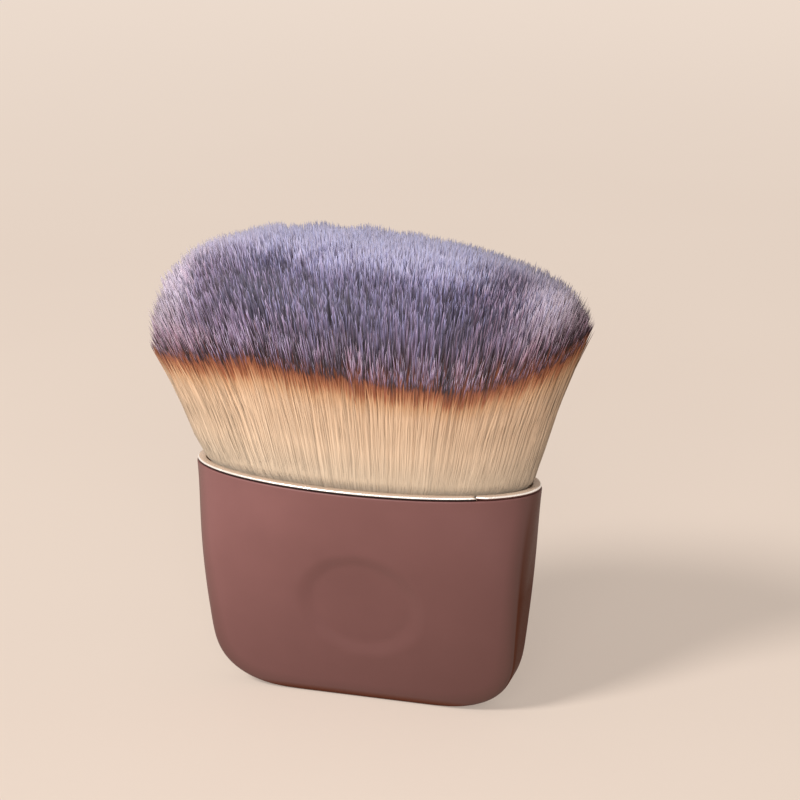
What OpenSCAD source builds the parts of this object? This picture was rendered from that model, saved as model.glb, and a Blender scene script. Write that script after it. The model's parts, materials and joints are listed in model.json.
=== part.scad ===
// Kabuki makeup brush: a dense flared tuft of bristles in a pouch-shaped metal handle.
// Z runs up along the brush, X across its width, and the thumb dish faces -Y.
// The origin is the middle of the flat foot, and all sizes are in millimetres.

/* [Handle] */
// Width of the handle across its mouth
mouth_w = 60; // [54:0.5:66]
// Depth of the handle across its mouth
mouth_d = 24; // [22:0.5:28]
// Height of the handle from its foot to its mouth
handle_h = 40.4; // [38.4:0.5:46.4]
// How much narrower each side is at the foot than at the mouth, before its corner
side_taper = 4.25; // [2:0.25:6]
// Thickness of the handle at its foot
foot_d = 5; // [4.6:0.2:8]
// Width of each of the two eased lower corners
corner_w = 17; // [12:0.5:20]
// Height of the lower corners
corner_h = 12; // [9:0.5:14]
// Squareness of the corners' curve, where 2 is an ellipse
corner_squareness = 2.9; // [2.2:0.1:3.6]
// Rounding of the edge round the foot
edge_r = 0.8; // [0.4:0.1:1.2]
// Squareness of the section at the foot, where 2 is an ellipse
foot_squareness = 14; // [8:1:18]
// Wall of the shell
wall = 0.9; // [0.7:0.05:1.1]

/* [Thumb dish] */
// Width of the dish's floor
dish_w = 19.4; // [14:0.2:22]
// Height of the dish's floor along the face
dish_h = 17.8; // [13:0.2:19]
// Height of the dish's centre above the foot
dish_z = 18.9; // [16.9:0.2:20.1]
// Distance of the dish's centre right of the middle
dish_x = 0.8; // [-2:0.2:2]
// Width of the rounded lip round the floor
dish_lip = 1.4; // [0.8:0.1:1.8]
// Depth of the floor at the foot of the lip
dish_depth = 0.6; // [0.4:0.05:0.8]
// How much deeper the floor is in its middle
dish_sag = 0.25; // [0.1:0.05:0.4]

/* [Bright strip round the mouth] */
// Thickness of the strip
strip_t = 0.6; // [0.4:0.05:0.8]
// Height of the strip's skirt inside the shell
strip_skirt = 4.5; // [3:0.5:6]
// Thickness of the strip's lip over the shell's edge
strip_lip = 0.5; // [0.3:0.05:0.8]
// Shadow gap between the strip's lip and the shell's edge
strip_gap = 0.15; // [0.05:0.05:0.3]
// Setback of the strip's lip from the outside of the shell
strip_setback = 0.15; // [0.05:0.05:0.4]
// Chamfer on the strip's lip
strip_chamfer = 0.15; // [0.05:0.05:0.2]
// Place along the width where the strip's ends butt
seam_x = 20.8; // [-24:0.4:24]
// Gap between the strip's ends
seam_gap = 0.3; // [0.1:0.05:0.6]

/* [Cup and core] */
// Depth of the tuft's cup, lip to underside
cup_h = 10; // [9:0.5:11]
// Wall and floor of the cup
cup_wall = 1; // [0.8:0.05:1.3]
// How far the cup's lip lies below the mouth
cup_drop = 0.4; // [0.2:0.1:0.8]
// Wall of the ribbed core
core_wall = 1.2; // [0.9:0.05:1.5]
// Thickness of the core's ribs
rib_t = 1.2; // [0.8:0.1:2]
// Number of ribs across the core
rib_count = 5; // [3:1:7]
// Clearance between fitted parts
fit = 0.08; // [0.05:0.01:0.12]

/* [Bristle roots] */
// How far the bristles leave their backing below the cup's lip
root_drop = 0.8; // [0.4:0.1:1]
// Thickness of the slice of backing fused to the bristles
slice_t = 1.2; // [0.8:0.1:1.6]
// Room between the tuft and the cup's wall
tuft_room = 0.4; // [0.35:0.05:0.8]
// Height of the binding round the roots
binding_h = 3; // [2:0.25:4]
// Thickness of the binding
binding_t = 0.6; // [0.4:0.05:0.9]

/* [Head] */
// Width of the head at its widest
head_w = 75.2; // [68:0.4:82]
// Depth of the head at its deepest
head_d = 34.5; // [28.5:0.5:40]
// Height of the crown above the mouth
crown_h = 40.4; // [36:0.2:46]
// How much higher the crown is at the left end than in the middle
crown_lean = 1.8; // [0:0.2:3]
// Height of the shoulder above the mouth at the left end, where the tuft is spread in full
left_shoulder_h = 22.5; // [19:0.5:26]
// Height of the shoulder above the mouth at the right end
right_shoulder_h = 29; // [24:0.5:32]
// Height above the roots of the bristles' waist, where each stands free of the next
waist_h = 16; // [12:0.5:18]
// Unevenness of the bristle tips
tip_scatter = 0.6; // [0:0.1:1]
// Columns of bristles in each of the three bundles
bundle_columns = 10; // [8:1:10]
// Rows of bristles from front to back
bundle_rows = 13; // [11:1:13]
// Gap between neighbouring bundles
bundle_gap = 0.1; // [0.05:0.05:0.3]

/* [Hidden] */

// Points round a section of the shell's outside and of everything inside it
shell_sides = 64;
inner_sides = 48;
dish_sides = 40;
// The faces lean forward by this angle, from the foot to the mouth
face_lean = atan((mouth_d - foot_d) / 2 / handle_h);
// How far each layer lies inside the outside of the shell
core_inset = wall + fit;
strip_inner = core_inset + strip_t;
cup_inset = strip_inner + fit;
bowl_inset = cup_inset + cup_wall;
block_inset = bowl_inset + fit;
tuft_inset = bowl_inset + tuft_room;
// Levels from the lip of the strip down to the underside of the cup
strip_top = handle_h + strip_gap + strip_lip;
strip_foot = handle_h - strip_skirt;
cup_top = handle_h - cup_drop;
cup_floor = cup_top - cup_h;
root_z = cup_top - root_drop;
block_top = root_z - slice_t;
block_foot = cup_floor + cup_wall + fit;
binding_z = (block_top + block_foot - binding_h) / 2;
core_top = cup_floor - fit;
// The core's pockets stop above the corners, where the handle is too thin for them
pocket_foot = corner_h;
rib_pitch = mouth_w / (rib_count + 1);
over = 1;

// Section of the handle at a height, a distance in from its outside
function eased(drop, power) = 1 - pow(max(1 - pow(drop, power), 0), 1 / power);
function corner_cut(z, inset) =
    z >= corner_h
        ? 0
        : (corner_w - inset) * eased(min((corner_h - z) / (corner_h - inset), 1), corner_squareness);
function half_w(z, inset = 0) =
    mouth_w / 2 - side_taper * max(1 - z / handle_h, 0) - inset - corner_cut(z, inset);
function half_d(z, inset = 0) =
    foot_d / 2 + (mouth_d - foot_d) / 2 * min(z / handle_h, 1) - inset;
function squareness(z) = 2 + (foot_squareness - 2) * pow(max(1 - z / handle_h, 0), 1.6);
function level(z, inset = 0) = [z, half_w(z, inset), half_d(z, inset), squareness(z)];

// Levels up the lower corners, close together at their foot, and up the straight sides
function corner_levels(inset, step) =
    [for (turn = [0:step:90]) corner_h - (corner_h - inset) * cos(turn)];
function side_levels(top, steps) =
    [for (i = [1:steps]) corner_h + (top - corner_h) * i / steps];

// Outside of the shell: its lowest levels are drawn in by the rounded edge
function edge_cut(z) = z >= edge_r ? 0 : edge_r * eased(1 - z / edge_r, 2);
function outside_levels() = [
    for (z = concat(corner_levels(0, 7.5), side_levels(handle_h, 6)))
        [z, half_w(z), half_d(z) - edge_cut(z), squareness(z)]
];
function inside_levels(inset, foot, top, steps = 5) = [
    for (z = concat([for (z = corner_levels(inset, 15)) if (z >= foot) z], side_levels(top, steps)))
        level(z, inset)
];

// One point of a section: z, half width, half depth and squareness
function section_point(section, turn) =
    let (
        across = cos(turn),
        away = pow(max(1 - pow(abs(across), section[3]), 0), 1 / section[3]),
        depth = turn % 180 == 0 ? 0 : section[2] * away * sign(sin(turn))
    )
    [section[1] * across, depth, section[0]];
function section_points(sections, sides) =
    [for (section = sections) for (k = [0:sides - 1]) section_point(section, k * 360 / sides)];

// The two triangles between points k and k + 1 of two neighbouring sections
function band(low, high, k, sides) =
    let (next = (k + 1) % sides)
    [
        [low * sides + k, high * sides + k, high * sides + next],
        [low * sides + k, high * sides + next, low * sides + next]
    ];

// A solid through a list of sections, closed at both ends
module loft(sections, sides = inner_sides) {
    last = len(sections) - 1;
    walls = [for (i = [0:last - 1]) for (k = [0:sides - 1]) each band(i, i + 1, k, sides)];
    foot_face = [for (k = [0:sides - 1]) k];
    top_face = [for (k = [sides - 1:-1:0]) last * sides + k];
    polyhedron(section_points(sections, sides), concat(walls, [foot_face, top_face]));
}

// A closed band round the handle, from a profile of [inset, z] points that climbs outside
module hoop(profile) {
    count = len(profile);
    sections = [for (p = profile) level(p[1], p[0])];
    walls = [
        for (i = [0:count - 1]) for (k = [0:inner_sides - 1]) each band(i, (i + 1) % count, k, inner_sides)
    ];
    polyhedron(section_points(sections, inner_sides), walls);
}

// Moves children onto the front face at the dish, with Z pointing out of the face
module on_front_face() {
    translate([dish_x, -half_d(dish_z), dish_z]) rotate([90 + face_lean, 0, 0]) children();
}

// The thumb dish as a solid to cut away, or its wall on the inside when sunk below the face
function dish_section(z, grow) = [z, dish_w / 2 + grow, dish_h / 2 + grow, 2];
module dish(sunk = 0) {
    floor_sections = [
        for (share = [0.3, 0.65])
            [-dish_depth - dish_sag * (1 - share * share) - sunk, (dish_w / 2 + sunk) * share,
                (dish_h / 2 + sunk) * share, 2]
    ];
    lip_sections = [
        for (rise = [0:0.25:1])
            dish_section(-dish_depth * (1 - rise) * (1 - 0.75 * rise) - sunk, dish_lip * rise + sunk)
    ];
    top_section = [dish_section(over, dish_lip + sunk + over)];
    on_front_face() loft(concat(floor_sections, lip_sections, top_section), dish_sides);
}

module handle_shell() {
    color("#8a5c56") difference() {
        loft(outside_levels(), shell_sides);
        difference() {
            loft(inside_levels(wall, 0, handle_h + over), inner_sides);
            dish(wall);
        }
        dish();
    }
}

module rim_strip() {
    lip_foot = handle_h + strip_gap;
    color("#e8e2dc") difference() {
        hoop([
            [core_inset, strip_foot],
            [core_inset, lip_foot],
            [strip_setback, lip_foot],
            [strip_setback, strip_top - strip_chamfer],
            [strip_setback + strip_chamfer, strip_top],
            [strip_inner - strip_chamfer, strip_top],
            [strip_inner, strip_top - strip_chamfer],
            [strip_inner, strip_foot]
        ]);
        translate([seam_x - seam_gap / 2, -mouth_d, strip_foot - over])
            cube([seam_gap, mouth_d, strip_skirt + strip_lip + 2 * over]);
    }
}

// The cup's shoulder carries the strip's skirt
module tuft_cup() {
    shoulder = strip_foot - fit;
    color("#e3c9a8") difference() {
        loft([
            level(cup_floor, core_inset),
            level(shoulder, core_inset),
            level(shoulder, cup_inset),
            level(cup_top, cup_inset)
        ]);
        loft([level(cup_floor + cup_wall, bowl_inset), level(cup_top + over, bowl_inset)]);
        dish(core_inset);
    }
}

module handle_core() {
    pocket_inset = core_inset + core_wall;
    color("#d8d4cc") difference() {
        loft(inside_levels(core_inset, 0, core_top));
        difference() {
            loft(inside_levels(pocket_inset, pocket_foot, core_top + over));
            for (i = [1:rib_count])
                translate([-mouth_w / 2 + i * rib_pitch - rib_t / 2, -mouth_d / 2, 0])
                    cube([rib_t, mouth_d, handle_h]);
            dish(pocket_inset);
        }
        dish(core_inset);
    }
}

module root_block() {
    waist_inset = block_inset + binding_t + fit;
    waist_foot = binding_z - fit;
    waist_top = binding_z + binding_h + fit;
    color("#b9a27c") loft([
        level(block_foot, block_inset),
        level(waist_foot, block_inset),
        level(waist_foot, waist_inset),
        level(waist_top, waist_inset),
        level(waist_top, block_inset),
        level(block_top, block_inset)
    ]);
}

module root_binding() {
    color("#f1ece0") hoop([
        [block_inset, binding_z],
        [block_inset, binding_z + binding_h],
        [block_inset + binding_t, binding_z + binding_h],
        [block_inset + binding_t, binding_z]
    ]);
}

// A square of bristles is spread over the oval of the tuft: column and row from -1 to 1 give
// a place in a circle, where the outermost column or row lies on the rim
function in_circle(column, row) =
    abs(column) >= abs(row)
        ? (column == 0 ? [0, 0] : column * [cos(45 * row / column), sin(45 * row / column)])
        : row * [sin(45 * column / row), cos(45 * column / row)];

// Heights above the roots at a place in the circle: the shoulder, where the tuft is spread in
// full, and the domed head that the tips lie on
function shoulder(place) =
    (left_shoulder_h * (1 - place[0]) + right_shoulder_h * (1 + place[0])) / 2 + handle_h - root_z;
function dome(place) =
    let (
        crown = crown_h - crown_lean * place[0] + handle_h - root_z,
        arch = pow(max(1 - pow(norm(place), 3), 0), 0.55)
    )
    shoulder(place) + (crown - shoulder(place)) * arch;

// A point of the tuft: its place in the circle, spread from the mouth's oval to the head's. A
// power under 1 bows the flanks outwards.
flank_power = 0.9;
function tuft_point(place, height) =
    let (
        share = pow(min(height / shoulder(place), 1), flank_power),
        half_width = half_w(root_z, tuft_inset) * (1 - share) + head_w / 2 * share,
        half_depth = half_d(root_z, tuft_inset) * (1 - share) + head_d / 2 * share
    )
    [place[0] * half_width, place[1] * half_depth, root_z + height];

// Each bristle narrows from its whole cell at the root to a waist, a neck and a tip. All waists
// are level and the necks follow the dome, so that no bristle meets the next.
waist_share = 0.88;
neck_share = 0.78;
neck_at = 0.95;
corner_steps = [[0, 0], [1, 0], [1, 1], [0, 1]];

// A bundle is a third of the tuft. All its bristles stand on one slice of backing.
module bundle(third) {
    low = -1 + third * 2 / 3 + (third > 0 ? bundle_gap / mouth_w : 0);
    high = -1 + (third + 1) * 2 / 3 - (third < 2 ? bundle_gap / mouth_w : 0);
    columns = bundle_columns;
    rows = bundle_rows;
    grid = (columns + 1) * (rows + 1);
    scatter = rands(-tip_scatter, tip_scatter, columns * rows, third + 7);

    function column_at(i) = low + (high - low) * i / columns;
    function row_at(j) = -1 + 2 * j / rows;
    function corner(i, j, step) = i * (rows + 1) + j + step[0] * (rows + 1) + step[1];

    // Four points round one bristle, drawn in to a share of its cell
    function ring(i, j, share, height) = [
        for (step = corner_steps)
            let (
                column = column_at(i + 0.5) + (column_at(i + step[0]) - column_at(i + 0.5)) * share,
                row = row_at(j + 0.5) + (row_at(j + step[1]) - row_at(j + 0.5)) * share
            )
            tuft_point(in_circle(column, row), height)
    ];
    function bristle_points(i, j) =
        let (
            place = in_circle(column_at(i + 0.5), row_at(j + 0.5)),
            height = dome(place)
        )
        concat(
            ring(i, j, waist_share, waist_h),
            ring(i, j, neck_share, height * neck_at),
            [tuft_point(place, height + scatter[i * rows + j])]
        );

    foot_points = [
        for (i = [0:columns]) for (j = [0:rows])
            tuft_point(in_circle(column_at(i), row_at(j)), 0) - [0, 0, slice_t]
    ];
    root_points = [for (point = foot_points) point + [0, 0, slice_t]];
    shafts = [for (i = [0:columns - 1]) for (j = [0:rows - 1]) each bristle_points(i, j)];

    // Triangles between two rings of four points, one above the other
    function ring_walls(low_ring, high_ring) = [
        for (k = [0:3])
            let (next = (k + 1) % 4)
            each [
                [low_ring[k], high_ring[k], high_ring[next]],
                [low_ring[k], high_ring[next], low_ring[next]]
            ]
    ];
    function bristle_faces(i, j) =
        let (
            first = 2 * grid + 9 * (i * rows + j),
            root = [for (step = corner_steps) grid + corner(i, j, step)],
            waist = [first, first + 1, first + 2, first + 3],
            neck = [first + 4, first + 5, first + 6, first + 7]
        )
        concat(
            ring_walls(root, waist),
            ring_walls(waist, neck),
            [for (k = [0:3]) [neck[k], first + 8, neck[(k + 1) % 4]]]
        );
    function foot_faces(i, j) =
        let (cell = [for (step = corner_steps) corner(i, j, step)])
        [[cell[0], cell[1], cell[2]], [cell[0], cell[2], cell[3]]];

    // The slice's edge, anticlockwise from above
    edge = concat(
        [for (i = [0:columns - 1]) i * (rows + 1)],
        [for (j = [0:rows - 1]) columns * (rows + 1) + j],
        [for (i = [columns:-1:1]) i * (rows + 1) + rows],
        [for (j = [rows:-1:1]) j]
    );
    edge_faces = [
        for (k = [0:len(edge) - 1])
            let (
                a = edge[k],
                b = edge[(k + 1) % len(edge)]
            )
            each [[a, a + grid, b + grid], [a, b + grid, b]]
    ];
    faces = concat(
        [for (i = [0:columns - 1]) for (j = [0:rows - 1]) each concat(bristle_faces(i, j), foot_faces(i, j))],
        edge_faces
    );
    polyhedron(concat(foot_points, root_points, shafts), faces);
}

module bristles_left() {
    color("#b9a6bd") bundle(0);
}

module bristles_middle() {
    color("#c2aec4") bundle(1);
}

module bristles_right() {
    color("#b9a6bd") bundle(2);
}

handle_shell();
rim_strip();
tuft_cup();
handle_core();
root_block();
root_binding();
bristles_left();
bristles_middle();
bristles_right();
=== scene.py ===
"""Looks of the kabuki brush: fine bristles, a satin shell, a bright rim strip and the studio.

Lengths are in millimetres until a mesh is made, and the sizes are those of the CAD model.
"""

import json
import math

import bpy
import numpy as np
from mathutils import Matrix, Vector

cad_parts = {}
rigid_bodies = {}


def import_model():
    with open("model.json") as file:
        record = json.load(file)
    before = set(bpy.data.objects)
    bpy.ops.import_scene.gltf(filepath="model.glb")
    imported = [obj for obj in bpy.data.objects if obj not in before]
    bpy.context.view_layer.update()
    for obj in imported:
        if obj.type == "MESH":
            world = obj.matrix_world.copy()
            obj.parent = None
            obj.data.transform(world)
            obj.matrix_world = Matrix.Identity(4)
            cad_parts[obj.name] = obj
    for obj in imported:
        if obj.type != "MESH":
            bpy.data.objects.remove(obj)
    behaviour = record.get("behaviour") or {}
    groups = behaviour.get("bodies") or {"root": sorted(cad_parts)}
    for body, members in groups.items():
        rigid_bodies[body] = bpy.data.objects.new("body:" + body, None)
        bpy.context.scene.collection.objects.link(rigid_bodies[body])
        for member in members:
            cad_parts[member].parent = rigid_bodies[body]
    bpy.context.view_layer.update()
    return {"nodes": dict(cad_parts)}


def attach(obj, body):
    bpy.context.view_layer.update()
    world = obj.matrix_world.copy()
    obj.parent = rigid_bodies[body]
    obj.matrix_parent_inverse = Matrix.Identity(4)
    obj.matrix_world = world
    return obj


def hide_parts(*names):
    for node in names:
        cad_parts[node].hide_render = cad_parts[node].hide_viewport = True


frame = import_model()

MM = 0.001
RNG = np.random.default_rng(41)

# Handle, as in the CAD model
MOUTH_W, MOUTH_D, HANDLE_H = 60.0, 24.0, 40.4
SIDE_TAPER, FOOT_D = 4.25, 5.0
CORNER_W, CORNER_H, CORNER_SQUARENESS = 17.0, 12.0, 2.9
EDGE_R = 0.8
FOOT_SQUARENESS, SQUARENESS_FADE = 14, 1.6
WALL = 0.9
FIT = 0.08
# Thumb dish
DISH_W, DISH_H = 19.4, 17.8
DISH_X, DISH_Z = 0.8, 18.9
DISH_LIP, DISH_DEPTH, DISH_SAG = 1.4, 0.6, 0.25
# Strip and cup
STRIP_T, STRIP_SKIRT, STRIP_LIP = 0.6, 4.5, 0.5
STRIP_GAP, STRIP_SETBACK, STRIP_CHAMFER = 0.15, 0.15, 0.15
SEAM_X, SEAM_GAP = 20.8, 0.3
CUP_WALL, CUP_DROP = 1.0, 0.4
# Tuft
ROOT_DROP, TUFT_ROOM = 0.8, 0.4
HEAD_W, HEAD_D = 75.2, 34.5
CROWN_H, CROWN_LEAN = 40.4, 1.8
LEFT_SHOULDER_H, RIGHT_SHOULDER_H = 22.5, 29.0
DOME_POWER, DOME_ROUNDNESS = 3, 0.55

CORE_INSET = WALL + FIT
STRIP_INNER = CORE_INSET + STRIP_T
CUP_INSET = STRIP_INNER + FIT
BOWL_INSET = CUP_INSET + CUP_WALL
TUFT_INSET = BOWL_INSET + TUFT_ROOM
STRIP_TOP = HANDLE_H + STRIP_GAP + STRIP_LIP
STRIP_FOOT = HANDLE_H - STRIP_SKIRT
CUP_TOP = HANDLE_H - CUP_DROP
ROOT_Z = CUP_TOP - ROOT_DROP
MOUTH_ABOVE_ROOTS = HANDLE_H - ROOT_Z


# Shares from 0 to 1
def rising(value, start, span):
    """Rises evenly from 0 at the start to 1 after the span."""
    return np.clip((value - start) / span, 0, 1)


def smoothed(share):
    """The same share, but level where it starts and where it ends."""
    return share**2 * (3 - 2 * share)


# Sections of the handle
def eased(drop, power):
    """A superellipse's quarter: 0 to 1 as the drop goes from 0 to 1."""
    return 1 - np.maximum(1 - np.power(drop, power), 0) ** (1 / power)


def corner_cut(z, inset=0.0):
    """How much the foot's rounded corner takes off each side at a height."""
    drop = np.clip((CORNER_H - z) / (CORNER_H - inset), 0, 1)
    return (CORNER_W - inset) * eased(drop, CORNER_SQUARENESS)


def half_w(z, inset=0.0):
    """The handle's half width at a height, inset by a wall."""
    return MOUTH_W / 2 - SIDE_TAPER * np.maximum(1 - z / HANDLE_H, 0) - inset - corner_cut(z, inset)


def half_d(z, inset=0.0):
    """The handle's half depth at a height, inset by a wall."""
    return FOOT_D / 2 + (MOUTH_D - FOOT_D) / 2 * np.minimum(z / HANDLE_H, 1) - inset


def squareness(z):
    """The power of the superellipse at a height: an ellipse at the mouth, nearly a box at the foot."""
    return 2 + (FOOT_SQUARENESS - 2) * np.maximum(1 - z / HANDLE_H, 0) ** SQUARENESS_FADE


def section(z, wide, deep, power, quarter):
    """Evenly spaced points round one section of the handle, anticlockwise from +X."""
    fine_steps = 1200
    turn = np.linspace(0, math.pi / 2, fine_steps)
    x = wide * np.cos(turn) ** (2 / power)
    y = deep * np.sin(turn) ** (2 / power)
    run = np.concatenate([[0], np.cumsum(np.hypot(np.diff(x), np.diff(y)))])
    at = np.linspace(0, run[-1], quarter + 1)
    qx, qy = np.interp(at, run, x), np.interp(at, run, y)
    xs = np.concatenate([qx[:-1], -qx[::-1][:-1], -qx[:-1], qx[::-1][:-1]])
    ys = np.concatenate([qy[:-1], qy[::-1][:-1], -qy[:-1], -qy[::-1][:-1]])
    return np.column_stack([xs, ys, np.full(len(xs), z)])


# Meshes
def make_mesh(name, points, faces, smooth=True, uv=None, normals=None):
    """A mesh piece in metres from points in millimetres; faces are all triangles or all quads."""
    faces = np.asarray(faces, np.int32)
    count, sides = faces.shape
    mesh = bpy.data.meshes.new(name)
    mesh.vertices.add(len(points))
    mesh.vertices.foreach_set("co", (np.asarray(points) * MM).astype(np.float32).ravel())
    mesh.loops.add(count * sides)
    mesh.loops.foreach_set("vertex_index", faces.ravel())
    mesh.polygons.add(count)
    mesh.polygons.foreach_set("loop_start", np.arange(0, count * sides, sides, dtype=np.int32))
    if uv is not None:
        layer = mesh.uv_layers.new(name="OFBake")
        layer.data.foreach_set("uv", np.asarray(uv, np.float32).ravel())
    mesh.update(calc_edges=True)
    if smooth:
        mesh.shade_smooth()
    if normals is not None:
        mesh.normals_split_custom_set_from_vertices(np.asarray(normals, np.float32))
    piece = bpy.data.objects.new(name, mesh)
    bpy.context.scene.collection.objects.link(piece)
    return piece


def ring_quads(rings, sides, closed=False):
    """The quads between rings of points; a closed set joins its last ring to its first."""
    low = np.arange(rings if closed else rings - 1)
    high = (low + 1) % rings
    k = np.arange(sides)
    after = (k + 1) % sides
    quads = np.stack(
        np.broadcast_arrays(
            low[:, None] * sides + k,
            low[:, None] * sides + after,
            high[:, None] * sides + after,
            high[:, None] * sides + k,
        ),
        axis=-1,
    )
    return quads.reshape(-1, 4)


def finish_piece(piece, material, slot, *nodes):
    """Gives a piece its material and body, and hides the CAD nodes whose place it takes; its slot is not
    used.
    """
    piece.data.materials.clear()
    piece.data.materials.append(material)
    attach(piece, "root")
    if nodes:
        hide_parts(*nodes)


# Colours and node trees
def srgb(red, green, blue):
    """A colour given as 0 to 255 on screen, as linear RGBA."""
    values = np.array([red, green, blue]) / 255
    linear = np.where(values <= 0.04045, values / 12.92, ((values + 0.055) / 1.055) ** 2.4)
    return (*linear.tolist(), 1.0)


def grey(value):
    """A grey of a linear value, as RGBA."""
    return (value, value, value, 1.0)


class Nodes:
    """Short calls for building a node tree."""

    def __init__(self, owner, output):
        owner.use_nodes = True
        self.tree = owner.node_tree
        self.tree.nodes.clear()
        self.output = self.add(output)

    def add(self, kind, **settings):
        node = self.tree.nodes.new(kind)
        for key, value in settings.items():
            setattr(node, key, value)
        return node

    def link(self, source, target):
        self.tree.links.new(source, target)

    def put(self, target, value):
        if isinstance(value, bpy.types.NodeSocket):
            self.link(value, target)
        else:
            target.default_value = value

    def math(self, operation, first, second=0.0, clamp=False):
        node = self.add("ShaderNodeMath", operation=operation, use_clamp=clamp)
        self.put(node.inputs[0], first)
        self.put(node.inputs[1], second)
        return node.outputs[0]

    def step(self, value, start, rate):
        """Rises from 0 at start, by rate for each unit, to 1."""
        return self.math("MULTIPLY", self.math("SUBTRACT", value, start), rate, clamp=True)

    def object_place(self):
        return self.add("ShaderNodeTexCoord").outputs["Object"]

    def noise(self, vector, scale, detail=2.0, roughness=0.5):
        node = self.add("ShaderNodeTexNoise")
        self.put(node.inputs["Vector"], vector)
        node.inputs["Scale"].default_value = scale
        node.inputs["Detail"].default_value = detail
        node.inputs["Roughness"].default_value = roughness
        return node.outputs["Fac"]

    def ramp(self, value, stops, interpolation="LINEAR"):
        node = self.add("ShaderNodeValToRGB")
        node.color_ramp.interpolation = interpolation
        elements = node.color_ramp.elements
        while len(elements) < len(stops):
            elements.new(0.5)
        for element, (position, colour) in zip(elements, stops):
            element.position = position
            element.color = colour
        self.put(node.inputs["Fac"], value)
        return node.outputs["Color"]

    def fade(self, value, *stops):
        """A ramp of greys from stops of (position, level)."""
        return self.ramp(value, [(position, grey(level)) for position, level in stops])

    def mix(self, share, first, second, blend="MIX"):
        node = self.add("ShaderNodeMix", data_type="RGBA", blend_type=blend, clamp_factor=True)
        self.put(node.inputs["Factor"], share)
        self.put(node.inputs[6], first)
        self.put(node.inputs[7], second)
        return node.outputs[2]

    def seen_directly(self):
        """1 where the camera sees this itself, in a reflection or through something clear."""
        path = self.add("ShaderNodeLightPath")
        seen = self.math("MAXIMUM", path.outputs["Is Camera Ray"], path.outputs["Is Glossy Ray"])
        return self.math("MAXIMUM", seen, path.outputs["Is Transmission Ray"])

    def blend_shaders(self, share, first, second):
        node = self.add("ShaderNodeMixShader")
        self.link(share, node.inputs[0])
        self.link(first, node.inputs[1])
        self.link(second, node.inputs[2])
        self.link(node.outputs[0], self.output.inputs["Surface"])


class Surface(Nodes):
    """A material's node tree with its shader."""

    def __init__(self, name):
        self.material = bpy.data.materials.new(name)
        super().__init__(self.material, "ShaderNodeOutputMaterial")
        self.shader = self.add("ShaderNodeBsdfPrincipled")
        self.link(self.shader.outputs["BSDF"], self.output.inputs["Surface"])

    def set(self, **sockets):
        for key, value in sockets.items():
            self.put(self.shader.inputs[key.replace("_", " ")], value)

    def bump(self, height, strength, distance):
        node = self.add("ShaderNodeBump")
        node.inputs["Strength"].default_value = strength
        node.inputs["Distance"].default_value = distance
        self.put(node.inputs["Height"], height)
        self.put(self.shader.inputs["Normal"], node.outputs["Normal"])


# Painted shade: the shell's colour darkens by a step for so many metres to the right or down. The third
# number is the first of these steps that shows, and the fourth how many steps later it is darkest.
SHADE_W, SHADE_H, SHADE_FROM, SHADE_SPAN = 0.05, 0.04, -1.38, 2.0
# The painted shade along the foot's edge ends below this height in metres
FOOT_SHADE_TOP = 0.002


def shell_material():
    n = Surface("satin_shell")
    coordinates = n.add("ShaderNodeTexCoord")
    place = coordinates.outputs["Object"]
    cloudy = n.noise(place, 55, 3, 0.6)
    grain = n.noise(place, 2600, 2, 0.5)
    face = n.ramp(cloudy, [(0.3, srgb(120, 80, 79)), (0.7, srgb(129, 87, 86))])
    # Painted shade: the face is a little darker towards the lower right
    axes = n.add("ShaderNodeSeparateXYZ")
    n.link(place, axes.inputs[0])
    x, z = axes.outputs[0], axes.outputs[2]
    lower_right = n.math("SUBTRACT", n.math("MULTIPLY", x, 1 / SHADE_W), n.math("MULTIPLY", z, 1 / SHADE_H))
    lower_right = n.math("MULTIPLY", n.math("SUBTRACT", lower_right, SHADE_FROM), 1 / SHADE_SPAN)
    face = n.mix(n.fade(lower_right, (0.0, 0.0), (1.0, 0.90)), face, srgb(72, 42, 37))
    # Painted shade: it is darker near its outline, which mark_edges has measured in centimetres
    margin = n.add("ShaderNodeAttribute", attribute_name="from_edge").outputs["Fac"]
    near = n.fade(margin, (0.0, 0.5), (0.12, 0.32), (0.30, 0.0))
    face = n.mix(near, face, srgb(70, 47, 38))
    # Painted shade: both narrow sides and the rounded edge of the foot are darkened in colour, and they are
    # dull as well
    turn = n.add("ShaderNodeSeparateXYZ")
    n.link(coordinates.outputs["Normal"], turn.inputs[0])
    side = n.fade(n.math("ABSOLUTE", turn.outputs[1]), (0.46, 1), (0.60, 0))
    low = n.fade(n.math("MULTIPLY", z, 1 / (HANDLE_H * MM)), (0.55, 1), (1.0, 0.3))
    foot = n.fade(n.math("MULTIPLY", z, 1 / FOOT_SHADE_TOP), (0.35, 1), (0.75, 0))
    edge = n.math("MAXIMUM", n.math("MULTIPLY", side, low), foot)
    n.set(Base_Color=n.mix(edge, face, srgb(84, 47, 34)))
    n.set(Specular_IOR_Level=n.fade(edge, (0.0, 0.36), (1.0, 0.02)))
    n.set(Roughness=n.fade(grain, (0.3, 0.42), (0.7, 0.50)))
    n.bump(grain, 0.12, 0.00004)
    return n.material


def strip_material():
    n = Surface("polished_strip")
    brushed = n.noise(n.object_place(), 900, 3, 0.6)
    n.set(Base_Color=n.ramp(brushed, [(0.3, srgb(244, 240, 236)), (0.7, srgb(254, 252, 250))]))
    n.set(Metallic=0.6, Roughness=n.fade(brushed, (0.3, 0.22), (0.7, 0.30)))
    return n.material


# Painted shadow: a dark sheet along the foot of the strip's outer face, under its bright edge
def shadow_line_material():
    n = Surface("painted_shadow_line")
    brushed = n.noise(n.object_place(), 700, 3, 0.6)
    n.set(Base_Color=n.ramp(brushed, [(0.3, srgb(30, 20, 22)), (0.7, srgb(42, 28, 30))]))
    n.set(Roughness=0.35, Specular_IOR_Level=0.3)
    return n.material


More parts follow.
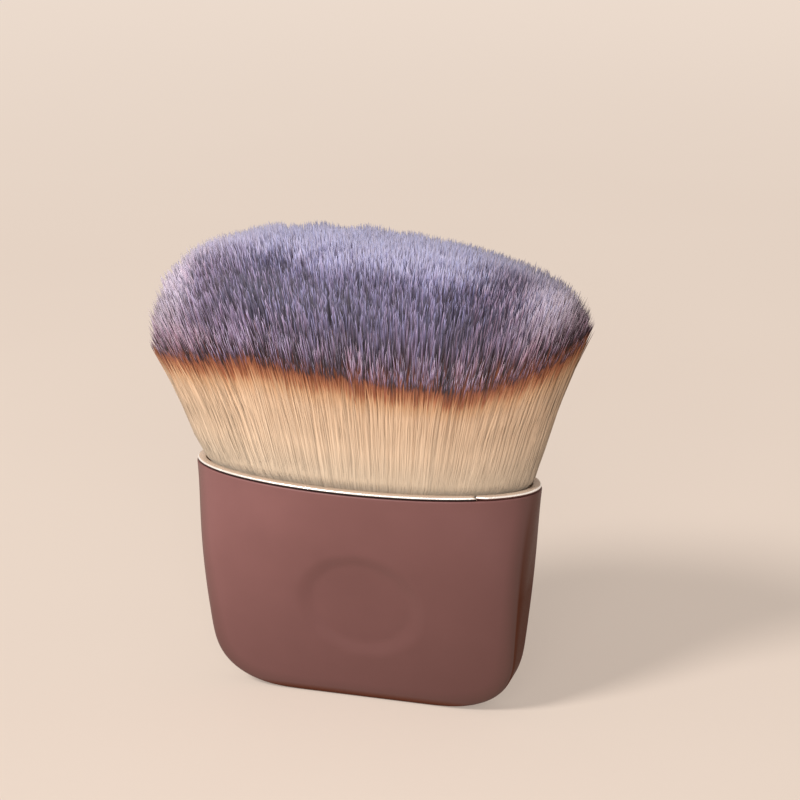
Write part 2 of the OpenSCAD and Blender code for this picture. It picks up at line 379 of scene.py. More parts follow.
def plastic_material(name, first, second, roughness, scale=120):
    """A moulded look, mottled between two colours."""
    n = Surface(name)
    place = n.object_place()
    mottled = n.noise(place, scale, 4, 0.55)
    n.set(Base_Color=n.ramp(mottled, [(0.3, first), (0.7, second)]))
    n.set(Roughness=n.fade(mottled, (0.2, roughness - 0.05), (0.8, roughness + 0.05)))
    n.bump(n.noise(place, 1500, 2), 0.1, 0.00003)
    return n.material


# Along a bristle: its root is at 0, the dye line at 0.5 and the palest tip at 1
BODY_COLOURS = [
    # The grey-beige at the root is painted shade where the bristles go down into the cup
    (0.00, srgb(186, 172, 156)),
    (0.08, srgb(222, 202, 178)),
    (0.20, srgb(239, 211, 182)),
    (0.36, srgb(226, 192, 160)),
    (0.42, srgb(210, 166, 128)),
    (0.46, srgb(180, 121, 84)),
    (0.495, srgb(148, 87, 58)),
    (0.53, srgb(142, 82, 55)),
    (0.57, srgb(126, 73, 56)),
    (0.61, srgb(98, 62, 60)),
    (0.66, srgb(70, 55, 74)),
    (0.78, srgb(106, 101, 138)),
    (0.90, srgb(164, 161, 201)),
    (1.00, srgb(204, 204, 240)),
]
# The same above the dye line, for the bristles with pinker tips
PINK_COLOURS = [
    (0.50, srgb(160, 96, 64)),
    (0.57, srgb(128, 74, 56)),
    (0.66, srgb(78, 52, 56)),
    (0.80, srgb(138, 108, 124)),
    (1.00, srgb(220, 203, 214)),
]
# The map is cut across into zones of the head's width, and each zone into kinds of bristle
ZONES, KINDS = 16, 16
COLUMNS = ZONES * KINDS


def bristle_gain(n, up, column, kind):
    """How light each bristle is beside the next, most uneven above the dye line, where many bristles are
    painted dark as shade in the gaps between the tips.
    """

    def random_of(seed):
        white = n.add("ShaderNodeTexWhiteNoise", noise_dimensions="1D")
        n.put(white.inputs["W"], n.math("ADD", column, seed))
        return white.outputs["Value"]

    tone, fleck_and_gap_shade = random_of(0.37), random_of(907.53)
    few_dark = n.math("MULTIPLY", n.math("POWER", fleck_and_gap_shade, 6.0), 0.18)
    pale = n.math("ADD", n.math("MULTIPLY", tone, 0.10), n.math("SUBTRACT", 0.80, few_dark))
    # Painted shade: above the dye line, bristles with a high random number are made dark, standing in for the
    # shaded gaps between the tips
    soft = n.fade(fleck_and_gap_shade, (0.0, 1.0), (0.40, 0.86), (0.60, 0.42), (1.0, 0.22))
    hard = n.fade(fleck_and_gap_shade, (0.0, 1.15), (0.42, 1.0), (0.52, 0.20), (1.0, 0.06))
    dyed = n.mix(kind, soft, hard)
    dyed = n.math("MULTIPLY", dyed, n.math("ADD", n.math("MULTIPLY", kind, 0.34), 1.02))
    dyed = n.math("MULTIPLY", dyed, n.math("ADD", n.math("MULTIPLY", tone, 0.3), 0.85))
    # The palest tips are more alike
    alike = n.math("MINIMUM", n.step(up, 0.84, 6.0), 0.75)
    uneven = n.math("MULTIPLY", dyed, n.math("SUBTRACT", 1.0, alike))
    dyed = n.math("ADD", uneven, n.math("MULTIPLY", alike, 0.93))
    gain = n.add("ShaderNodeMix", data_type="FLOAT")
    n.put(gain.inputs[0], n.step(up, 0.51, 8.0))
    n.put(gain.inputs[2], pale)
    n.put(gain.inputs[3], dyed)
    return gain.outputs[0]


def bristle_material(name, shade=1.0):
    """Colour from a bristle's map: across is its zone and kind, and up runs from root to tip."""
    n = Surface(name)
    uv = n.add("ShaderNodeUVMap", uv_map="OFBake").outputs["UV"]
    parts = n.add("ShaderNodeSeparateXYZ")
    n.link(uv, parts.inputs[0])
    across, up = parts.outputs[0], parts.outputs[1]
    column = n.math("FLOOR", n.math("MULTIPLY", across, float(COLUMNS)))
    kind = n.math("MULTIPLY", n.math("MODULO", column, float(KINDS)), 1 / (KINDS - 1))
    # The tips are pinker towards both ends of the head, and on the short bristles
    off_middle = n.math("ABSOLUTE", n.math("SUBTRACT", across, 0.5))
    pinkness = n.math("ADD", n.step(off_middle, 0.20, 2.6), n.math("MULTIPLY", kind, 0.8), clamp=True)
    pinkness = n.math("MULTIPLY", pinkness, n.step(up, 0.49, 30.0))
    colour = n.mix(pinkness, n.ramp(up, BODY_COLOURS), n.ramp(up, PINK_COLOURS))
    gain = n.math("MULTIPLY", bristle_gain(n, up, column, kind), shade)
    level = n.add("ShaderNodeCombineXYZ")
    for socket in level.inputs:
        n.link(gain, socket)
    n.set(Base_Color=n.mix(1.0, colour, level.outputs[0], "MULTIPLY"))
    n.set(Roughness=0.55, Specular_IOR_Level=0.3)
    return n.material


# Handle shell with its thumb dish
SHELL_QUARTER = 80
CORNER_RINGS, SIDE_RINGS = 34, 64
# How the mouth's rim is rounded, as insets and heights over the mouth
RIM_START = -0.25
RIM = [(0.02, -0.14), (0.09, -0.05), (0.2, 0.0), (WALL - 0.12, 0.0), (WALL, -0.12), (WALL, -6.0)]
# The dish's floor starts to rise so far inside its outline, and meets the face so far past its lip
EASE_IN, EASE_OUT = 1.5, 0.5
NO_DISH = 9.0


def dish_floor(across, up):
    """Height of the dish's floor over the face at a place on it, and far above it elsewhere."""
    reach = np.hypot(across / (DISH_W / 2), up / (DISH_H / 2))
    out = (reach - 1) * (DISH_W + DISH_H) / 4
    rise = rising(out, -EASE_IN, EASE_IN + DISH_LIP + EASE_OUT)
    depth = DISH_DEPTH + DISH_SAG * (1 - np.minimum(reach, 1) ** 2)
    return np.where(rise < 1, -depth * (1 - smoothed(rise)), NO_DISH)


def press_dish(points):
    """Presses the dish into the front of the shell's outside."""
    lean = math.atan((MOUTH_D - FOOT_D) / 2 / HANDLE_H)
    centre = np.array([DISH_X, -half_d(DISH_Z), DISH_Z])
    along = np.array([0, -math.sin(lean), math.cos(lean)])
    outward = np.array([0, -math.cos(lean), -math.sin(lean)])
    place = points - centre
    height = place @ outward
    floor = dish_floor(place[:, 0], place @ along)
    drop = np.where((points[:, 1] < 0) & (height > floor), floor - height, 0)
    return points + drop[:, None] * outward


def outline_points():
    """Points along the handle's outline seen from the front, on its right half, as x and z."""
    # They are closest low down, where the corner leaves the foot almost level
    low = 0.02 * CORNER_H * np.linspace(0, 1, 40) ** 2
    z = np.concatenate([low, np.linspace(0.25, HANDLE_H + 1, 260)])
    side = np.column_stack([half_w(z), z])
    foot = np.column_stack([np.linspace(0, side[0, 0], 40), np.zeros(40)])
    return np.concatenate([foot, side])


def mark_edges(mesh, points):
    """Keeps each point's distance from the handle's outline, seen from the front, in centimetres."""
    line = outline_points()
    place = np.column_stack([np.abs(points[:, 0]), points[:, 2]])
    away = np.empty(len(place))
    batch = 4000
    for start in range(0, len(place), batch):
        part = place[start : start + batch, None]
        away[start : start + batch] = np.hypot(*np.moveaxis(part - line[None], -1, 0)).min(1)
    layer = mesh.attributes.new("from_edge", "FLOAT", "POINT")
    layer.data.foreach_set("value", (away / 10).astype(np.float32))


def build_shell():
    turn = np.linspace(0, math.pi / 2, CORNER_RINGS)
    corner = CORNER_H * (1 - np.cos(turn))
    levels = np.concatenate([corner, np.linspace(CORNER_H, HANDLE_H + RIM_START, SIDE_RINGS)[1:]])
    rings = []
    for z in levels:
        cut = EDGE_R * eased(max(1 - z / EDGE_R, 0), 2)
        rings.append(section(z, half_w(z), half_d(z) - cut, squareness(z), SHELL_QUARTER))
    outside = press_dish(np.concatenate(rings))
    rim = []
    for inset, above in RIM:
        z = above + HANDLE_H
        rim.append(section(z, half_w(z, inset), half_d(z, inset), squareness(z), SHELL_QUARTER))
    points = np.concatenate([outside] + rim)
    sides = 4 * SHELL_QUARTER
    walls = ring_quads(len(levels) + len(rim), sides)
    # The foot is closed by quads between its two long sides
    foot = [[k, sides - k, sides - k - 1, k + 1] for k in range(1, 2 * SHELL_QUARTER - 1)]
    piece = make_mesh("shell_skin", points, np.concatenate([walls, foot]))
    mark_edges(piece.data, points)
    finish_piece(piece, shell_material(), "shell", "handle_shell")


# Rim strip
STRIP_QUARTER = 64
# Where the painted shadow at the foot of its outer face ends, above the strip's seat
SHADOW_LINE_H = 0.24


def strip_profile():
    """The strip's section as insets and heights, up its outer face and down its inner one."""
    foot, seat = STRIP_FOOT, HANDLE_H + STRIP_GAP
    c = STRIP_CHAMFER
    return [
        (CORE_INSET, foot),
        (CORE_INSET, seat),
        (STRIP_SETBACK, seat),
        (STRIP_SETBACK, seat + SHADOW_LINE_H),
        (STRIP_SETBACK, STRIP_TOP - c),
        (STRIP_SETBACK + 0.3 * c, STRIP_TOP - 0.3 * c),
        (STRIP_SETBACK + c, STRIP_TOP),
        (STRIP_INNER - c, STRIP_TOP),
        (STRIP_INNER - 0.3 * c, STRIP_TOP - 0.3 * c),
        (STRIP_INNER, STRIP_TOP - c),
        (STRIP_INNER, foot),
    ]


# The profile's first three sides hold painted shadow, and the rest of the first six are bright
SHADOW_LINE_SIDES, BRIGHT_SIDES = 3, 6


def build_strip():
    """A closed band round the mouth with a butt joint at its seam."""
    profile = strip_profile()
    rings = []
    for inset, z in profile:
        rings.append(section(z, half_w(z, inset), half_d(z, inset), squareness(z), STRIP_QUARTER))
    sides = 4 * STRIP_QUARTER
    points = np.concatenate(rings)
    quads = ring_quads(len(profile), sides, closed=True)
    # The quads nearest the seam are left out, and both ends are drawn up to it
    x, y = rings[0][:, 0], rings[0][:, 1]
    before = np.argmin(np.where(y < 0, np.abs(x - SEAM_X), np.inf))
    quads = quads[quads[:, 0] % sides != before]
    firsts = np.arange(len(profile)) * sides
    points[firsts + before, 0] = SEAM_X - SEAM_GAP / 2
    points[firsts + (before + 1) % sides, 0] = SEAM_X + SEAM_GAP / 2
    strip = make_mesh("rim_band", points, quads, smooth=False)
    finish_piece(strip, strip_material(), "strip", "rim_strip")
    for look in (
        shadow_line_material(),
        plastic_material("band_look", srgb(184, 163, 145), srgb(197, 176, 158), 0.45),
        # Past the joint the painted shadow is maroon
        plastic_material("shadow_line_past_seam", srgb(84, 46, 42), srgb(92, 52, 48), 0.5),
    ):
        strip.data.materials.append(look)
    # Round its profile the strip has painted shadow low on its outside, is bright along its edge and beige on
    # top and inside, and past its joint the painted shadow is maroon
    side = quads[:, 0] // sides
    middle = points[quads].mean(1)
    past_seam = (middle[:, 0] > SEAM_X) & (middle[:, 1] < 0)
    dark, bright = side < SHADOW_LINE_SIDES, side < BRIGHT_SIDES
    look = np.select([dark & past_seam, dark, bright], [3, 1, 0], 2).astype(np.int32)
    strip.data.polygons.foreach_set("material_index", look)


# Form of the tuft
# The tuft puffs out over the cup's lip just above its roots
PUFF_H, PUFF_INSET_W, PUFF_INSET_D, PUFF_POWER = 3.2, 1.2, 2.0, 1.15
# The dye line's height above the mouth, by the place along the head's width
DYE_X = [-37.6, -31, -25, -13, 0, 10, 19, 24, 29, 33, 37.6]
DYE_H = [19.3, 20.3, 21.5, 23.0, 22.2, 21.2, 20.5, 21.0, 22.2, 23.8, 27.2]
# The head's half width and half depth, rounded, over which its gentle waves run, and the height,
# size and seed of those in its dye line and in its crown
WAVES_W, WAVES_D = 37, 17
DYE_WAVES, CROWN_WAVES = (0.5, 5, 5), (0.2, 9, 3)
# A bristle bows by a power of its way: for one outside, how much more at the right end, and how
# much more in the middle of the head
BOW, BOW_RIGHT, BOW_INSIDE = 1.23, 0.05, 0.6
# How much the tuft's flank faces down
FLANK_DOWN = 0.25


def in_circle(column, row):
    """The square of bristles spread over a circle, as in the CAD model."""
    wide = np.abs(column) >= np.abs(row)
    reach = np.where(wide, column, row)
    other = np.where(wide, row, column)
    angle = math.pi / 4 * other / np.where(reach == 0, 1, reach)
    along, beside = reach * np.cos(angle), reach * np.sin(angle)
    return np.where(wide, along, beside), np.where(wide, beside, along)


def shoulder(x):
    """Height of the head's rim above the roots, from the left shoulder to the right one."""
    return (LEFT_SHOULDER_H * (1 - x) + RIGHT_SHOULDER_H * (1 + x)) / 2 + MOUTH_ABOVE_ROOTS


def dome(x, y):
    """Height of the head above the roots at a place in the circle."""
    crown = CROWN_H - CROWN_LEAN * x + MOUTH_ABOVE_ROOTS
    arch = np.maximum(1 - np.hypot(x, y) ** DOME_POWER, 0) ** DOME_ROUNDNESS
    return shoulder(x) + (crown - shoulder(x)) * arch


def dye_height(x):
    """Height of the dye line above the roots."""
    return np.interp(x * HEAD_W / 2, DYE_X, DYE_H) + MOUTH_ABOVE_ROOTS


def base_half(height):
    """Half width and half depth from which the tuft spreads, at a height above the roots."""
    share = rising(height, 0, PUFF_H) ** PUFF_POWER
    wide = half_w(ROOT_Z) - TUFT_INSET + (TUFT_INSET - PUFF_INSET_W) * share
    return wide, half_d(ROOT_Z) - TUFT_INSET + (TUFT_INSET - PUFF_INSET_D) * share


def on_the_way(x, y, share, height, lean_x=0.0, lean_y=0.0):
    """Where a bristle of the place x, y in the circle is, at a share of its way from root to tip."""
    spread = share ** (BOW + BOW_RIGHT * x + BOW_INSIDE * (1 - np.hypot(x, y)))
    base_w, base_d = base_half(height)
    px = x * (1 - spread) * base_w + (x + lean_x) * spread * HEAD_W / 2
    py = y * (1 - spread) * base_d + (y + lean_y) * spread * HEAD_D / 2
    return px, py


def gentle_waves(x, y, height, size, seed):
    """Waves over the head from a few sines, about as far up and down as their height."""
    x, y = x * WAVES_W, y * WAVES_D
    waves = np.random.default_rng(seed)
    total = np.zeros_like(x)
    for _ in range(9):
        angle = waves.uniform(0, 2 * math.pi)
        scale = 2 * math.pi / (size * waves.uniform(0.7, 1.5))
        total += np.sin((x * math.cos(angle) + y * math.sin(angle)) * scale + waves.uniform(0, 7))
    return height * (total / 3)


def tuft_normals(x, y):
    """Directions straight out of the tuft's flank and of its domed top, at places in the circle."""
    flank = np.stack([x / HEAD_W, y / HEAD_D, -FLANK_DOWN * np.hypot(x / HEAD_W, y / HEAD_D)], -1)
    # The small number keeps a bristle in the very middle from a division by zero
    flank /= np.linalg.norm(flank, axis=1, keepdims=True) + 1e-9
    step = 0.01
    # Places at the rim take the slope just inside it, because the dome ends in a wall there
    rim = 0.97
    reach = np.maximum(np.hypot(x, y) + 2 * step, rim)
    x, y = x * rim / reach, y * rim / reach
    rise_x = (dome(x + step, y) - dome(x - step, y)) / step / HEAD_W
    rise_y = (dome(x, y + step) - dome(x, y - step)) / step / HEAD_D
    top = np.stack([-rise_x, -rise_y, np.ones_like(x)], -1)
    return flank, top / np.linalg.norm(top, axis=1, keepdims=True)


# Bristles
# A layer says how many bristles stand along a side of the square, which radii it lies between, how
# far its tips fall short of the dome and rise over it, and how much its bristles turn. They start at
# a share of their way from root to tip. The stations are shares of the rest of it, and the widths
# are half widths there.
SIDE_LAYER = {
    "rows": 280,
    "radii": (0.93, 0.998),
    "short": 1.3,
    "rise": 0.7,
    "spin": 0.3,
    "start": 0.0,
    "stations": [0, 0.04, 0.09, 0.26, 0.5, 0.74, 0.91, 1],
    "widths": [0.065, 0.065, 0.065, 0.07, 0.08, 0.105, 0.1, 0],
}
CROWN_LAYER = {
    "rows": 158,
    "radii": (0, 0.935),
    "short": 1.5,
    "rise": 1.15,
    "spin": 1.5,
    "start": 0.7,
    "stations": [0, 0.35, 0.8, 0.93, 1],
    "widths": [0.12, 0.12, 0.11, 0.075, 0],
}
# The share of the outside bristles that end low, and how far above the dye line they do
LOW_SHARE, LOW_FROM, LOW_SPAN, LOW_POWER = 0.45, 0.8, 5.5, 1.4
# A bristle is at its shortest when it ends so far above the dye line, and long when it ends so much
# higher. A short one is dyed up to so far lower, and its tip is so much paler.
SHORTEST, SHORT_SPAN = 2, 9
SHORT_DYE, SHORT_PALER = 0.8, 0.22
# How many clumps the short bristles stand in, all the way round, and the share that does
CLUMPS, IN_CLUMPS, CLUMP_SEED = 520, 0.8, 11
# How far the dye line strays from one bristle to the next
DYE_STRAY = 0.45
# How far a bristle weaves to each side
SWAY = 0.08
# How far the tips stray, in shares of the head's half width and half depth
SPLAY_W, SPLAY_D = 0.012, 0.02
# The thinnest and the thickest bristle, in shares of its layer's widths
THINNEST, THICKEST = 0.8, 1.3
# How much of a bristle's shading is its own, besides the tuft's
OWN_SHADING = 0.2
# The dye line's place up the colour map, and across it half the head's width and how far a bristle
# may stray from its place
MAP_DYE, MAP_SPREAD, MAP_STRAY = 0.5, 0.44, 0.06
# The long bristles are of the first nine kinds, and the short ones of kinds so much further on
LONG_KINDS, SHORT_STEP = 9, 6.99
# How far a bristle keeps from the edges of its column, and of the map
COLUMN_EDGE, MAP_EDGE = 0.2, 0.002
# How pale the tips are at least, and how much paler the painted light on top, towards the back and at the
# ends makes them
TIP_PALE, TIP_PAINTED_LIGHT = 0.38, 0.27
# Above the dye line the colour moves on to plum over PLUM_SPAN, and over TIP_SPAN to that of the
# tip, which a bristle may take on only from DYE_SPAN above the line
DYE_SPAN, PLUM_SPAN, TIP_SPAN = 0.8, 4.2, 3.4
# How far up the part of the map above the dye line the plum is, and how much of the tip's paleness
# is added to that
PLUM, PLUM_PALER = 0.10, 0.6


def scattered(rows, inner, outer):
    """Places in the circle on a jittered grid, those between two radii."""
    c, r = np.meshgrid(np.arange(rows), np.arange(rows), indexing="ij")
    c = (c.ravel() + RNG.uniform(0, 1, c.size)) / rows * 2 - 1
    r = (r.ravel() + RNG.uniform(0, 1, r.size)) / rows * 2 - 1
    x, y = in_circle(c, r)
    reach = np.hypot(x, y)
    keep = (reach >= inner) & (reach < outer)
    return x[keep], y[keep]


def tip_length(x, y, short, rise):
    """Heights of the tips: most reach the dome, others stop a little short of it."""
    lacking = np.abs(RNG.normal(0, 1, len(x))) * short
    return dome(x, y) - lacking + gentle_waves(x, y, *CROWN_WAVES) + rise


def thirds(x, y):
    """The left, middle and right bundle's bristles, by their column in the square."""
    reach = np.hypot(x, y)
    turned = np.abs(y) > np.abs(x)
    column = np.where(turned, reach * np.arctan2(x, np.abs(y)) / (math.pi / 4), np.sign(x) * reach)
    return [column < -1 / 3, np.abs(column) <= 1 / 3, column > 1 / 3]


def tip_paleness_and_painted_light(x, y, above):
    """How pale the tips are: the dye's own paleness, with painted light making them palest on top of the
    head, towards its back and at its ends.
    """
    top = rising(above, 15, 5)
    back = rising(y - 0.12 * x, -0.38, 0.55) * rising(above, 5, 4)
    ends = np.minimum(rising(np.abs(x), 0.62, 0.3), 0.8) * rising(above, 4, 5)
    painted_light_share = np.maximum(np.maximum(top, back), ends)
    return TIP_PALE + TIP_PAINTED_LIGHT * smoothed(painted_light_share)


def map_height(height, dye, length, paleness):
    """How far up the colour map a point of a bristle lies: below the dye line by its height, and
    above it by how near it is to the line and to the tip."""
    past = height - dye
    near_tip = np.maximum(1 - (length - height) / TIP_SPAN, 0) * rising(past, 0, DYE_SPAN)
    above = (PLUM + PLUM_PALER * paleness) * rising(past, 0, PLUM_SPAN) + paleness * near_tip
    return np.where(past < 0, MAP_DYE * height / dye, MAP_DYE + (1 - MAP_DYE) * above)


def clumped(x, y, short):
    """Two random numbers for each bristle, which most of the short ones share with their clump."""
    own = RNG.uniform(0, 1, (2, len(x)))
    clump = np.floor((np.arctan2(y, x) / (2 * math.pi) + 0.5) * CLUMPS).astype(int) % CLUMPS
    shared = np.random.default_rng(CLUMP_SEED).uniform(0, 1, (2, CLUMPS))[:, clump]
    return np.where(RNG.uniform(0, 1, len(x)) < IN_CLUMPS * short, shared, own)


def strand_dyes(x, y, dye, length):
    """Each bristle's own dye line, how pale its tip is and its column of the map."""
    lowness = 1 - rising(length - dye, SHORTEST, SHORT_SPAN)
    dye = dye - RNG.uniform(0, SHORT_DYE, len(x)) * lowness**2
    paleness = tip_paleness_and_painted_light(x, y, length - dye) + SHORT_PALER * lowness**2
    short = lowness > 0.5
    pick, stray = clumped(x, y, short)
    zone = np.floor(ZONES * np.clip(0.5 + MAP_SPREAD * x + MAP_STRAY * (stray - 0.5), 0, 0.999))
    kind = np.floor(LONG_KINDS * pick + SHORT_STEP * np.where(short, 1, lowness))
    return dye, paleness, KINDS * zone + kind


def strand_faces(rings):
    """The triangles of a three-sided bristle that ends in a point, and the ring of each corner."""
    faces, levels = [], []
    for ring in range(rings - 1):
        for k in range(3):
            low, beside = 3 * ring + k, 3 * ring + (k + 1) % 3
            if ring == rings - 2:
                faces.append((low, beside, 3 * ring + 3))
                levels.append((ring, ring, ring + 1))
            else:
                faces += [(low, beside, beside + 3), (low, beside + 3, low + 3)]
                levels += [(ring, ring, ring + 1), (ring, ring + 1, ring + 1)]
    return np.array(faces), np.array(levels)


def strand_map(column, ups, levels):
    """Where the corners of the bristles' triangles lie on the colour map."""
    left = (column[:, None] + COLUMN_EDGE) / COLUMNS
    right = (column[:, None] + 1 - COLUMN_EDGE) / COLUMNS
    v = np.clip(np.stack(ups, 1), MAP_EDGE, 1 - MAP_EDGE)[:, levels]
    u = np.empty_like(v)
    u[:, :, 0] = left
    u[:, :, 1] = right
    u[:, :, 2] = np.where(np.arange(len(levels)) % 2 == 0, right, left)
    return np.stack([u, v], -1).reshape(-1, 2)


def bristles(name, layer, x, y, length):
    """One mesh of a layer's tapering bristles, which stand at places x, y in the circle."""
    number = len(x)
    dye = dye_height(x) + RNG.normal(0, DYE_STRAY, number) + gentle_waves(x, y, *DYE_WAVES)
    splay_x = RNG.normal(0, SPLAY_W, number)
    splay_y = RNG.normal(0, SPLAY_D, number)
    dye, paleness, column = strand_dyes(x, y, dye, length)
    flank, top = tuft_normals(x, y)
    # One side of each bristle faces out of the tuft, give or take its spin
    turn = np.arctan2(flank[:, 1], flank[:, 0]) - math.pi / 3 + RNG.normal(0, layer["spin"], number)
    corner = turn[:, None] + np.arange(3) * 2 * math.pi / 3
    around = np.stack([np.cos(corner), np.sin(corner), np.zeros_like(corner)], -1)
    thick = RNG.uniform(THINNEST, THICKEST, (number, 1, 1))
    rings, normals, ups = [], [], []
    for station, width in zip(layer["stations"], layer["widths"]):
        share = layer["start"] + (1 - layer["start"]) * station
        height = share * length
        # The tips stray over the upper half of the way, and the weaving is full from a fifth of it
        lean = 2 * max(share - 0.5, 0)
        px, py = on_the_way(x, y, share, height, splay_x * lean, splay_y * lean)
        sway = SWAY * min(1, 5 * share)
        px, py = px + RNG.normal(0, sway, number), py + RNG.normal(0, sway, number)
        middle = np.stack([px, py, ROOT_Z + height], -1)[:, None]
        # Most of the shading follows the tuft as a whole, so that it reads as one soft form
        to_tip = rising(share, 0.55, 0.45)
        soft = (flank * (1 - to_tip) + top * to_tip)[:, None]
        if width == 0:
            rings.append(middle)
            normals.append(soft)
        else:
            rings.append(middle + width * thick * around)
            normals.append(OWN_SHADING * around + (1 - OWN_SHADING) * soft)
        ups.append(map_height(height, dye, length, paleness))
    points = np.concatenate(rings, 1)
    normals = np.concatenate(normals, 1).reshape(-1, 3)
    normals /= np.linalg.norm(normals, axis=1, keepdims=True)
    faces, levels = strand_faces(len(rings))
    firsts = np.arange(number)[:, None, None] * points.shape[1]
    uv = strand_map(column, ups, levels)
    return make_mesh(name, points.reshape(-1, 3), (firsts + faces).reshape(-1, 3), uv=uv, normals=normals)


def cut_low(x, length):
    """Lets some of the outside bristles end low, so that they lie over the dye line."""
    low = dye_height(x) + LOW_FROM + LOW_SPAN * RNG.uniform(0, 1, len(x)) ** LOW_POWER
    return np.where(RNG.uniform(0, 1, len(x)) < LOW_SHARE, np.minimum(low, length), length)


def build_bristles():
    look = bristle_material("bristles_look")
    for part, layer in (("side", SIDE_LAYER), ("crown", CROWN_LAYER)):
        x, y = scattered(layer["rows"], *layer["radii"])
        length = tip_length(x, y, layer["short"], layer["rise"])
        if part == "side":
            length = cut_low(x, length)
        for bundle, keep in zip(("left", "middle", "right"), thirds(x, y)):
            piece = bristles(f"tuft_{part}_{bundle}", layer, x[keep], y[keep], length[keep])
            finish_piece(piece, look, "bristles", "bristles_" + bundle)


# Heart of the tuft
HEART_SIDES = 96
# Its radius in the circle, and how it narrows from a share of the dye line's height upwards
HEART_REACH, HEART_NARROWS, HEART_NARROWS_FROM = 0.986, 0.07, 0.55
# Its rings' heights as shares of the dye line's, and above that as radii and depths under the dome
HEART_SHARES = [0, 0.025, 0.05, 0.085, *np.linspace(0.14, 0.92, 10)]
HEART_TOP = [(0.9, 4), (0.86, 5), (0.78, 6), (0.65, 6), (0.5, 6), (0.3, 6), (0.12, 6)]
# Where the part above the dye line lies on the colour map: the bristles' own plum, kept dark as painted shade
# in the gaps between the bristles
HEART_SHADED_PLUM = 0.62


def build_heart():
    """A solid inside the tuft, which stands for the bristles that are never seen, and whose colour holds
    painted shade and light for the gaps between them.
    """
    angle = np.arange(HEART_SIDES) * 2 * math.pi / HEART_SIDES
    rings = []
    for share in HEART_SHARES:
        reach = HEART_REACH - HEART_NARROWS * max(share - HEART_NARROWS_FROM, 0)
        x, y = reach * np.cos(angle), reach * np.sin(angle)
        rings.append((x, y, share * dye_height(x)))
    for reach, drop in HEART_TOP:
        x, y = reach * np.cos(angle), reach * np.sin(angle)
        rings.append((x, y, dome(x, y) - drop))
    points, coords = [], []
    for x, y, height in rings:
        px, py = on_the_way(x, y, height / dome(x, y), height)
        points.append(np.stack([px, py, ROOT_Z + height], -1))
        dye = dye_height(x)
        v = np.where(height < dye, MAP_DYE * height / dye, HEART_SHADED_PLUM)
        coords.append(np.stack([0.5 + MAP_SPREAD * x, v], -1))
    # The ends are closed to a point each
    count = len(rings)
    tip = ROOT_Z + dome(0, 0) - HEART_TOP[-1][1]
    points = np.concatenate(points + [[[0, 0, ROOT_Z], [0, 0, tip]]])
    coords = np.concatenate(coords + [[[0.5, 0.0], [0.5, HEART_SHADED_PLUM]]])
    quads = ring_quads(count, HEART_SIDES)
    k = np.arange(HEART_SIDES)
    after = (k + 1) % HEART_SIDES
    last = (count - 1) * HEART_SIDES
    ends = count * HEART_SIDES
    foot = np.stack([np.full(HEART_SIDES, ends), after, k], -1)
    top = np.stack([np.full(HEART_SIDES, ends + 1), last + k, last + after], -1)
    faces = np.concatenate([quads[:, [0, 1, 2]], quads[:, [0, 2, 3]], foot, top])
    piece = make_mesh("tuft_heart", points, faces, uv=coords[faces].reshape(-1, 2))
    # Painted light: the heart's colour is made a little lighter, to offset the shade in the gaps between the
    # bristles
    finish_piece(piece, bristle_material("heart_look", 1.03), "bristles")


# CAD nodes that are shown as they are
def dress_nodes():
    looks = {
        "tuft_cup": plastic_material("cup_look", srgb(214, 184, 158), srgb(226, 198, 172), 0.5),
        "handle_core": plastic_material("core_look", srgb(208, 202, 192), srgb(222, 217, 208), 0.6),
        "root_block": plastic_material("resin_look", srgb(176, 150, 110), srgb(196, 172, 132), 0.3),
        "root_binding": plastic_material("binding_look", srgb(232, 224, 208), srgb(246, 240, 228), 0.8, 800),
    }
    for node, look in looks.items():
        slots = frame["nodes"][node].data.materials
        slots.clear()
        slots.append(look)


# Studio
CREAM = srgb(236, 219, 205)
FLOOR_REACH = 3000
WORLD_LIGHT, WORLD_STRENGTH = (1.0, 0.95, 0.90, 1.0), 0.42
WARM_WHITE, SOFT_WHITE = (1.0, 0.98, 0.95), (1.0, 0.97, 0.94)
# Places and sizes of the lamps in metres, and what they are aimed at
LIT_POINT = (0, 0, 0.045)
KEY_PLACE, KEY_SIZE = (-1.05, -1.47, 1.65), 0.63
FILL_PLACE, FILL_SIZE = (0.35, -1.70, 0.75), 1.10


def floor_material():
    """A pale floor. Part of what the camera sees of it is plain cream, and all of it far away."""
    n = Surface("floor_look")
    place = n.object_place()
    faint = n.noise(place, 6, 3, 0.5)
    n.set(Base_Color=n.ramp(faint, [(0.3, srgb(217, 200, 187)), (0.7, srgb(222, 206, 193))]))
    n.set(Roughness=0.9, Specular_IOR_Level=0.1)
    glow = n.add("ShaderNodeEmission")
    glow.inputs["Color"].default_value = CREAM
    away = n.add("ShaderNodeVectorMath", operation="LENGTH")
    n.link(place, away.inputs[0])
    plain = n.ramp(away.outputs["Value"], [(0.10, grey(0.4)), (0.75, grey(1.0))], "EASE")
    share = n.math("MULTIPLY", n.seen_directly(), plain)
    n.blend_shaders(share, n.shader.outputs["BSDF"], glow.outputs[0])
    return n.material


def build_floor():
    r = FLOOR_REACH
    floor = make_mesh("floor", [(-r, -r, 0), (r, -r, 0), (r, r, 0), (-r, r, 0)], [[0, 1, 2, 3]], smooth=False)
    floor.data.materials.append(floor_material())


def soft_light(name, place, size, power, colour):
    lamp = bpy.data.lights.new(name, "AREA")
    lamp.shape = "DISK"
    lamp.size = size
    lamp.energy = power
    lamp.color = colour
    light = bpy.data.objects.new(name, lamp)
    light.location = place
    aim = Vector(LIT_POINT) - Vector(place)
    light.rotation_euler = aim.to_track_quat("-Z", "Y").to_euler()
    bpy.context.scene.collection.objects.link(light)
    return light


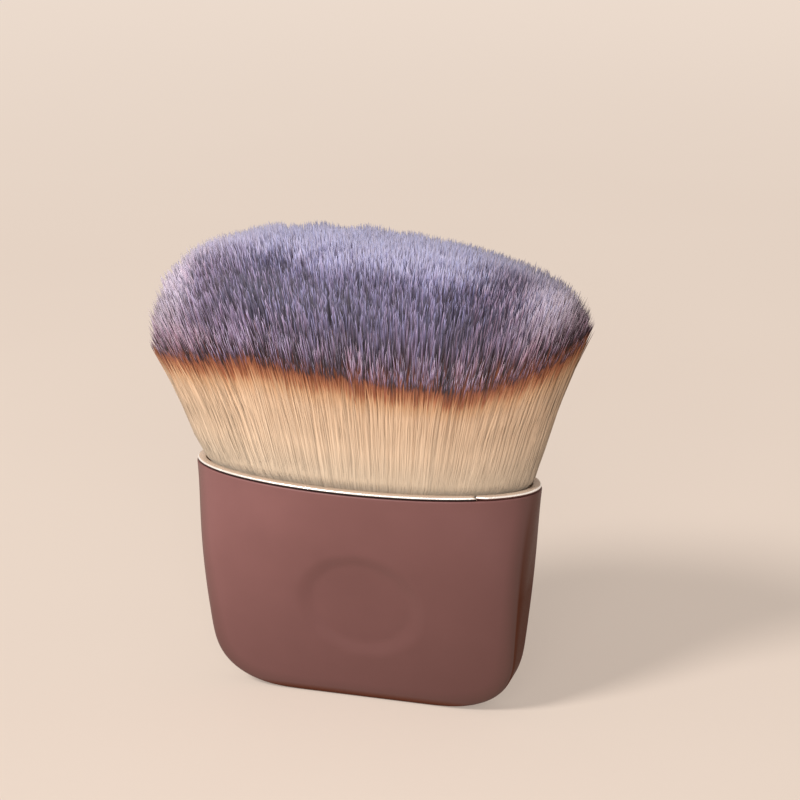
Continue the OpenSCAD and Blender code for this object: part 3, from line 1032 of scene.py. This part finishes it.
def pass_bristles(light):
    """Lets a lamp's light through the bristles, so that only what is inside them stops it."""
    clear = bpy.data.collections.new(light.name + "_passes")
    for piece in bpy.context.scene.objects:
        if piece.name.startswith(("tuft_side", "tuft_crown")):
            clear.objects.link(piece)
    for item in clear.collection_objects:
        item.light_linking.link_state = "EXCLUDE"
    light.light_linking.blocker_collection = clear


def build_lights():
    """A key light from the front left, more than half of it through the bristles, and a weak fill."""
    soft_light("key_light", KEY_PLACE, KEY_SIZE, 22.0, WARM_WHITE)
    pass_bristles(soft_light("key_glow", KEY_PLACE, KEY_SIZE, 30.0, WARM_WHITE))
    soft_light("fill_light", FILL_PLACE, FILL_SIZE, 13.0, SOFT_WHITE)


def build_world():
    """A plain cream backdrop, and a dimmer light of its own on the brush."""
    world = bpy.data.worlds.new("studio")
    bpy.context.scene.world = world
    n = Nodes(world, "ShaderNodeOutputWorld")
    backdrop, lit = n.add("ShaderNodeBackground"), n.add("ShaderNodeBackground")
    backdrop.inputs["Color"].default_value = CREAM
    backdrop.inputs["Strength"].default_value = 1.0
    lit.inputs["Color"].default_value = WORLD_LIGHT
    lit.inputs["Strength"].default_value = WORLD_STRENGTH
    n.blend_shaders(n.seen_directly(), lit.outputs[0], backdrop.outputs[0])


# Camera
AZIMUTH, ELEVATION, ROLL = math.radians(16.95), math.radians(20.16), math.radians(-0.19)
TARGET = Vector((0, 0, HANDLE_H)) * MM
# How far right of the target and above it the picture's middle is
AIM_RIGHT, AIM_UP = 5.5, 12.1
DISTANCE = 0.45
LENS = 120.7


def build_camera():
    flat = math.cos(ELEVATION)
    away = Vector((math.sin(AZIMUTH) * flat, -math.cos(AZIMUTH) * flat, math.sin(ELEVATION)))
    eye = TARGET + away * DISTANCE
    level = Vector((math.cos(AZIMUTH), math.sin(AZIMUTH), 0))
    upright = level.cross(-away)
    right = math.cos(ROLL) * level + math.sin(ROLL) * upright
    up = math.cos(ROLL) * upright - math.sin(ROLL) * level
    aim = TARGET + (AIM_RIGHT * right + AIM_UP * up) * MM
    back = (eye - aim).normalized()
    side = (right - back * right.dot(back)).normalized()
    top = back.cross(side)
    data = bpy.data.cameras.new("camera")
    data.lens = LENS
    data.sensor_width = 36
    data.clip_start = 0.01
    data.clip_end = 20
    camera = bpy.data.objects.new("camera", data)
    camera.matrix_world = Matrix(
        (
            (side.x, top.x, back.x, eye.x),
            (side.y, top.y, back.y, eye.y),
            (side.z, top.z, back.z, eye.z),
            (0, 0, 0, 1),
        )
    )
    bpy.context.scene.collection.objects.link(camera)
    bpy.context.scene.camera = camera


build_shell()
build_strip()
build_bristles()
build_heart()
dress_nodes()
build_floor()
build_lights()
build_world()
build_camera()

bpy.context.scene.view_settings.view_transform = "Standard"
